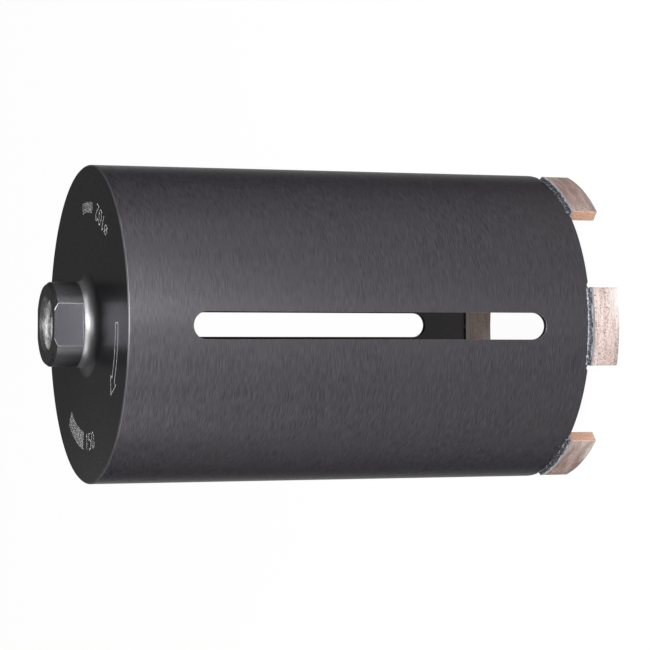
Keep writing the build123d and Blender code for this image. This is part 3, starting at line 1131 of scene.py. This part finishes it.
def matrix_grids(index, sizes):
    """One segment's matrix: a rounded block, roughened and pitted inwards, bent round the axis.

    A point near a face moves in from it by grain (2 + fine waves + broad waves) + pits, save from
    the top, which is flat against the foot. The wear marks the two raw ends.
    """
    rng = np.random.default_rng(MATRIX_SEED + index)
    low = np.array([-sizes.length / 2, CUTTING_RADIUS - sizes.width, 0.0])
    high = np.array([sizes.length / 2, CUTTING_RADIUS, MATRIX_TOP_Z])
    centre = (low + high) / 2
    over = np.array([0.0, 0.0, sizes.tip_edge * 0.7])
    seeds = rng.integers(1 << 30, size=3)
    grids = []
    for unit in block_sides(MATRIX_FACES):
        block = rounded_block(unit, low, high + over, sizes.tip_edge)
        block[..., 2] = np.minimum(block[..., 2], high[2])
        grain = waves(block, np.random.default_rng(seeds[0]), GRAIN_LENGTH)
        worn = waves(block, np.random.default_rng(seeds[1]), WORN_LENGTH, count=12)
        depth = sizes.grain * (1 + grain) + sizes.grain * (1 + worn)
        depth += pits(block, low, high, np.random.default_rng(seeds[2]), sizes)
        inward = centre - block
        near = np.abs(inward) > (high - low) / 2 - sizes.tip_edge * 1.2
        inward = np.sign(inward) * near
        inward[..., 2] *= block[..., 2] < high[2] - FLAT_TOP
        inward /= np.maximum(np.linalg.norm(inward, axis=-1, keepdims=True), 1.0)
        block = block + inward * depth[..., None]
        end = np.clip((np.abs(block[..., 0]) - high[0] + END_WEAR_REACH) / END_WEAR_FADE, 0, 1)
        grids.append(with_wear(bent(block, segment_angle(index)), end))
    return grids


def foot_grids(index, sizes):
    """One segment's steel foot: a block with slightly rounded edges, bent round the axis."""
    low = np.array([-sizes.length / 2, CUTTING_RADIUS - sizes.width, MATRIX_TOP_Z])
    high = np.array([sizes.length / 2, CUTTING_RADIUS, RIM_Z])
    return [with_wear(bent(rounded_block(unit, low, high, sizes.foot_edge), segment_angle(index)))
            for unit in block_sides(FOOT_FACES)]


class COREBIT_OT_segments(bpy.types.Operator):
    """Builds the diamond segments on their steel feet"""
    bl_idname = "corebit.segments"
    bl_label = "Segments"

    def execute(self, context):
        sizes = context.scene.core_bit_segments
        bronze = shared_material("diamond_bronze", bronze_material)
        steel = shared_material("segment_foot_steel", foot_material)
        for index in range(SEGMENT_COUNT):
            number = index + 1
            matrix = grid_mesh(f"segment_{number}", matrix_grids(index, sizes), sharp_degrees=50.0)
            dress(matrix, bronze, "diamond_matrix", f"segment_matrix_{number}")
            foot = grid_mesh(f"segment_foot_{number}", foot_grids(index, sizes))
            dress(foot, steel, "bare_steel", f"segment_base_{number}")
        return {"FINISHED"}


def bead_grids(index, sizes):
    """One weld bead in the corner over a segment's foot, closed along the tube and the foot.

    Its face runs from the ledge's rim, w outside the tube, to the tube at height h:
    r = R + w (0.96 (1 - s) - 0.16 sin(pi s)), with scalloped ripples |sin(pi l / pitch)| along its
    length l, h being uneven. Both ends sink towards the root, which lies a little inside the tube.
    """
    rng = np.random.default_rng(BEAD_SEED + index)
    half = segment_half_angle()
    turn = np.linspace(-half, half, BEAD_COLUMNS)
    along = turn * BARREL_RADIUS
    line = np.stack([along, along * 0, along * 0], -1)
    ledge = CUTTING_RADIUS - BARREL_RADIUS
    s = np.linspace(0, 1, BEAD_ROWS)[:, None]
    bulge = np.sin(math.pi * s)
    drift = waves(line, rng, BEAD_DRIFT_LENGTH, count=8)
    ripple = np.abs(np.sin(math.pi * (along / sizes.ripple_pitch + 0.35 * drift)))
    uneven = 0.82 + 0.16 * waves(line, rng, BEAD_HEIGHT_LENGTH, count=10)
    radius = BARREL_RADIUS + ledge * (0.96 * (1 - s) - 0.16 * bulge)
    radius = radius - sizes.ripple_height * bulge * (1 - ripple)
    z = RIM_Z + (WELD_TOP_Z - RIM_Z) * np.clip(uneven, 0.5, 1.0) * s
    ends = np.clip((half - np.abs(turn)) / BEAD_END, 0, 1) ** 0.5
    root_radius = BARREL_RADIUS - BEAD_SINK
    radius = root_radius + (radius - root_radius) * (0.55 + 0.45 * ends)
    angle = segment_angle(index) + turn
    face = polar(radius, angle, z)
    root = polar(root_radius, angle, RIM_Z)
    back = np.stack([face[-1], root, face[0]])
    sides = [np.stack([face[:, k], np.broadcast_to(root[k], face[:, k].shape)]) for k in (0, -1)]
    sides += [np.stack([np.stack([face[-1, k], root[k]]), np.stack([root[k], root[k]])]) for k in (0, -1)]
    return [with_wear(grid) for grid in (face, back, *sides)]


def drop_grids(index, sizes):
    """Spatter drops stuck to the tube, each c + r (cos p cos q, cos p sin q, k sin p), k near one."""
    rng = np.random.default_rng(DROP_SEED + index)
    half = segment_half_angle()
    p = np.linspace(-math.pi / 2, math.pi / 2, DROP_ROWS)[:, None]
    q = np.linspace(0, 2 * math.pi, DROP_COLUMNS)
    ball = np.stack([np.cos(p) * np.cos(q), np.cos(p) * np.sin(q), np.sin(p) + 0 * q], -1)
    grids = []
    for _ in range(sizes.drop_count):
        radius = sizes.drop_radius * (0.25 + 0.75 * rng.uniform(0.0, 1.0) ** 3)
        angle = segment_angle(index) + rng.uniform(-half, half)
        z = WELD_TOP_Z + min(rng.exponential(DROP_SCATTER) + DROP_LOWEST, DROP_HIGHEST)
        centre = polar(BARREL_RADIUS - 0.15 * radius, angle, z)
        stretch = np.array([1.0, 1.0, rng.uniform(*DROP_STRETCH)])
        grids.append(with_wear(centre + ball * radius * stretch, 1.0))
    return grids


class COREBIT_OT_welds(bpy.types.Operator):
    """Builds the weld beads and their spatter"""
    bl_idname = "corebit.welds"
    bl_label = "Welds"

    def execute(self, context):
        sizes = context.scene.core_bit_welds
        metal = shared_material("blued_weld", weld_material)
        for index in range(SEGMENT_COUNT):
            number = index + 1
            bead = grid_mesh(f"weld_bead_{number}", bead_grids(index, sizes), 60.0, FINE_MERGE)
            dress(bead, metal, "weld_metal", f"weld_seam_{number}")
            drops = grid_mesh(f"weld_spatter_{number}", drop_grids(index, sizes), 60.0, FINE_MERGE)
            dress(drops, metal, "weld_metal")
        return {"FINISHED"}


# Engraved marks

# Places on the marks' ring are angles in degrees
DIGIT_PITCH = 0.78  # From one figure to the next, in heights of a figure
DIAMETER_ANGLE, DEPTH_ANGLE = -29, 188
ARROW_ANGLE, ARROW_HALF_ANGLE, ARROW_HEAD_ANGLE = -103, 14, 8
ARROW_HALF_WIDTH, ARROW_BARB = 1.5 * MM, 1.8 * MM
SCALES = ((146, 174, 5.6 * MM, 19), (-10, 8, 3.4 * MM, 9))  # Start, end, length and number of strokes
POINT_STEP = 0.4 * MM
MARK_SINK = 0.05 * MM


def arc(centre, radii, start, end, count=13):
    """Points on an ellipse, centre + (a cos t, b sin t), with angles in degrees."""
    t = np.radians(np.linspace(start, end, count))
    return np.stack([centre[0] + radii[0] * np.cos(t), centre[1] + radii[1] * np.sin(t)], -1)


# Single lines of the figures, in cells 0.6 wide and 1 high
FIGURES = {
    "0": [arc((0.3, 0.5), (0.27, 0.5), 90, 450, 25)],
    "1": [np.array([(0.12, 0.8), (0.34, 1.0), (0.34, 0.0)])],
    "2": [np.concatenate([arc((0.3, 0.72), (0.26, 0.28), 170, -35), [(0.04, 0.0), (0.58, 0.0)]])],
    "5": [np.concatenate([[(0.53, 1.0), (0.1, 1.0), (0.07, 0.56)],
                          arc((0.27, 0.32), (0.28, 0.32), 120, -140)])],
    "diameter": [arc((0.3, 0.45), (0.28, 0.3), 90, 450, 25), np.array([(0.02, 0.08), (0.58, 0.82)])],
}


def face_points(radius, angle):
    """Points (r cos a, r sin a) of the back face."""
    return polar(radius, angle, 0.0)[..., :2]


def number_strokes(figures, sizes, middle):
    """A number wrapped on the marks' ring: x goes round it, y goes towards the axis."""
    strokes = []
    for place, figure in enumerate(figures):
        for x, y in (stroke.T for stroke in FIGURES[figure]):
            x = x + (place - len(figures) / 2) * DIGIT_PITCH
            strokes.append(face_points(sizes.ring_radius - (y - 0.5) * sizes.digit_height,
                                   math.radians(middle) + x * sizes.digit_height / sizes.ring_radius))
    return strokes


def arrow_strokes(sizes):
    """An outlined arrow that shows the way to turn: two arcs, a straight end and a pointed head."""
    ring = sizes.ring_radius
    inner, outer = ring - ARROW_HALF_WIDTH, ring + ARROW_HALF_WIDTH
    t = np.radians(np.linspace(ARROW_ANGLE + ARROW_HALF_ANGLE, ARROW_ANGLE - ARROW_HALF_ANGLE, 15))
    tip = t[-1] - math.radians(ARROW_HEAD_ANGLE)
    head = face_points((outer + ARROW_BARB, ring, inner - ARROW_BARB), (t[-1], tip, t[-1]))
    there = face_points(outer, t)
    return [np.concatenate([there, head, face_points(inner, t[::-1]), there[:1]])]


def scale_strokes(sizes, start, end, size, count):
    """Short radial strokes side by side between two angles, like a graduated scale."""
    angles = np.radians(np.linspace(start, end, count))
    return list(face_points(sizes.ring_radius + np.array([-size / 2, size / 2]), angles[:, None]))


def ribbon_grids(stroke, width, low, high):
    """A flat bar along a stroke: its sides lie width / 2 to the left and right of the line."""
    step = np.gradient(stroke, axis=0)
    step /= np.maximum(np.linalg.norm(step, axis=1, keepdims=True), TINY)
    left = np.stack([-step[:, 1], step[:, 0]], -1) * width / 2

    def at(side, z):
        return np.concatenate([stroke + side * left, np.full((len(stroke), 1), z)], -1)

    around = np.stack([at(-1, low), at(1, low), at(1, high), at(-1, high), at(-1, low)])
    ends = [np.stack([around[:2, k], around[[3, 2], k]]) for k in (0, -1)]
    return [with_wear(around), *(with_wear(end) for end in ends)]


class COREBIT_OT_marks(bpy.types.Operator):
    """Engraves plain numbers, a turning arrow and graduations on the back face"""
    bl_idname = "corebit.marks"
    bl_label = "Marks"

    def execute(self, context):
        sizes = context.scene.core_bit_marks
        face = context.scene.core_bit_cap.back_z
        marks = {
            "mark_diameter": number_strokes(["diameter", "1", "0", "2"], sizes, DIAMETER_ANGLE),
            "mark_depth": number_strokes("150", sizes, DEPTH_ANGLE),
            "mark_arrow": arrow_strokes(sizes),
            "mark_scale": [stroke for scale in SCALES for stroke in scale_strokes(sizes, *scale)],
        }
        engraved = shared_material("engraved_mark", mark_material)
        for name, strokes in marks.items():
            grids = [grid for stroke in strokes
                     for grid in ribbon_grids(spread_rows(stroke, POINT_STEP), sizes.line_width,
                                              face - MARK_SINK, face + sizes.line_height)]
            dress(grid_mesh(name, grids, 30.0, FINE_MERGE), engraved, "bare_steel")
        return {"FINISHED"}


# Studio

# Name, azimuth and elevation in degrees, distance, width and height in metres, and watts
LAMPS = (
    ("front_right", 23, 3, 0.34, 0.24, 0.12, 0.66),
    ("front_high", 4, 14, 0.64, 0.3, 0.24, 3.2),
    ("front_left", -26, 3, 0.42, 0.26, 0.14, 0.55),
    ("side_right", 60, 4, 0.42, 0.26, 0.14, 0.5),
    ("side_left", -64, 4, 0.42, 0.26, 0.14, 0.6),
    ("top", 0, 52, 0.7, 0.4, 0.3, 1.0),
    ("back", -156, 26, 0.8, 0.44, 0.4, 0.24),
)


def toward(elevation, azimuth):
    """The direction (cos e sin a, -cos e cos a, sin e)."""
    return (math.cos(elevation) * math.sin(azimuth), -math.cos(elevation) * math.cos(azimuth),
            math.sin(elevation))


def add_lamp(name, azimuth, elevation, distance, width, height, power):
    """A soft lamp at hub + distance * away, which faces the hub and which the camera doesn't see."""
    lamp = bpy.data.lights.new(name, "AREA")
    lamp.shape = "RECTANGLE"
    lamp.size, lamp.size_y = width, height
    lamp.energy = power
    holder = bpy.data.objects.new(name, lamp)
    bpy.context.scene.collection.objects.link(holder)
    away = Vector(toward(math.radians(elevation), math.radians(azimuth)))
    holder.location = Vector((0, 0, HUB_END_Z)) + away * distance
    holder.rotation_euler = away.to_track_quat("Z", "Y").to_euler()
    holder.visible_camera = False


def add_camera(studio):
    """The camera, whose picture has the bit's axis lying across it with the hub on the left.

    Its place is target + distance * away. Its right-hand direction is -Z made square to the line
    of sight, then turned by the roll.
    """
    target = np.array([0.0, 0.0, studio.look_z])
    away = np.array(toward(studio.camera_elevation, studio.camera_azimuth))
    across = np.array([0.0, 0.0, -1.0])
    across -= away * (across @ away)
    across /= np.linalg.norm(across)
    up = np.cross(away, across)
    turn = studio.camera_roll
    right = across * math.cos(turn) + up * math.sin(turn)
    up = np.cross(away, right)
    camera = bpy.data.cameras.new("photo_camera")
    camera.lens = studio.focal_length
    camera.sensor_width = 36.0
    camera.shift_x = studio.shift
    camera.clip_start = 0.01
    camera.clip_end = 50.0
    holder = bpy.data.objects.new("photo_camera", camera)
    bpy.context.scene.collection.objects.link(holder)
    place = np.eye(4)
    place[:3, 0], place[:3, 1], place[:3, 2] = right, up, away
    place[:3, 3] = target + away * studio.camera_distance
    holder.matrix_world = Matrix(place.tolist())
    bpy.context.scene.camera = holder


class COREBIT_OT_stage(bpy.types.Operator):
    """Sets up the pale floor, the soft lamps, the world and the camera"""
    bl_idname = "corebit.stage"
    bl_label = "Stage"

    def execute(self, context):
        studio = context.scene.core_bit_studio
        half = studio.floor_size / 2
        mesh = bpy.data.meshes.new("studio_floor")
        corners = [(-half, -half, 0), (half, -half, 0), (half, half, 0), (-half, half, 0)]
        mesh.from_pydata(corners, [], [(0, 1, 2, 3)])
        floor = bpy.data.objects.new("studio_floor", mesh)
        context.scene.collection.objects.link(floor)
        mesh.materials.append(floor_material())
        for lamp in LAMPS:
            add_lamp(*lamp)
        world = bpy.data.worlds.new("studio_world")
        world.use_nodes = True
        background = world.node_tree.nodes["Background"]
        background.inputs["Color"].default_value = grey(1.0)
        background.inputs["Strength"].default_value = studio.world_strength
        context.scene.world = world
        context.scene.view_settings.view_transform = "Standard"
        add_camera(studio)
        return {"FINISHED"}


OPERATORS = (
    COREBIT_OT_barrel,
    COREBIT_OT_end_cap,
    COREBIT_OT_thread,
    COREBIT_OT_segments,
    COREBIT_OT_welds,
    COREBIT_OT_marks,
    COREBIT_OT_stage,
)


class COREBIT_PT_panel(bpy.types.Panel):
    """Lists the pieces of the core bit and their sizes"""
    bl_idname = "COREBIT_PT_panel"
    bl_label = "Core Bit"
    bl_space_type = "VIEW_3D"
    bl_region_type = "UI"
    bl_category = "Core Bit"

    def draw(self, context):
        for operator in OPERATORS:
            self.layout.operator(operator.bl_idname)
        for group_name, group in GROUPS.items():
            box = self.layout.box()
            box.label(text=group.__doc__)
            for name in group.__annotations__:
                box.prop(getattr(context.scene, group_name), name)


def register():
    """Registers the property groups, the operators and the panel."""
    for name, group in GROUPS.items():
        bpy.utils.register_class(group)
        setattr(bpy.types.Scene, name, PointerProperty(type=group))
    for operator in OPERATORS:
        bpy.utils.register_class(operator)
    bpy.utils.register_class(COREBIT_PT_panel)


def unregister():
    """Takes all of them away again."""
    bpy.utils.unregister_class(COREBIT_PT_panel)
    for operator in reversed(OPERATORS):
        bpy.utils.unregister_class(operator)
    for name, group in reversed(GROUPS.items()):
        delattr(bpy.types.Scene, name)
        bpy.utils.unregister_class(group)


def main():
    """Builds every piece and the stage."""
    register()
    bpy.ops.corebit.barrel()
    bpy.ops.corebit.end_cap()
    bpy.ops.corebit.thread()
    bpy.ops.corebit.segments()
    bpy.ops.corebit.welds()
    bpy.ops.corebit.marks()
    bpy.ops.corebit.stage()


if __name__ == "__main__":
    main()
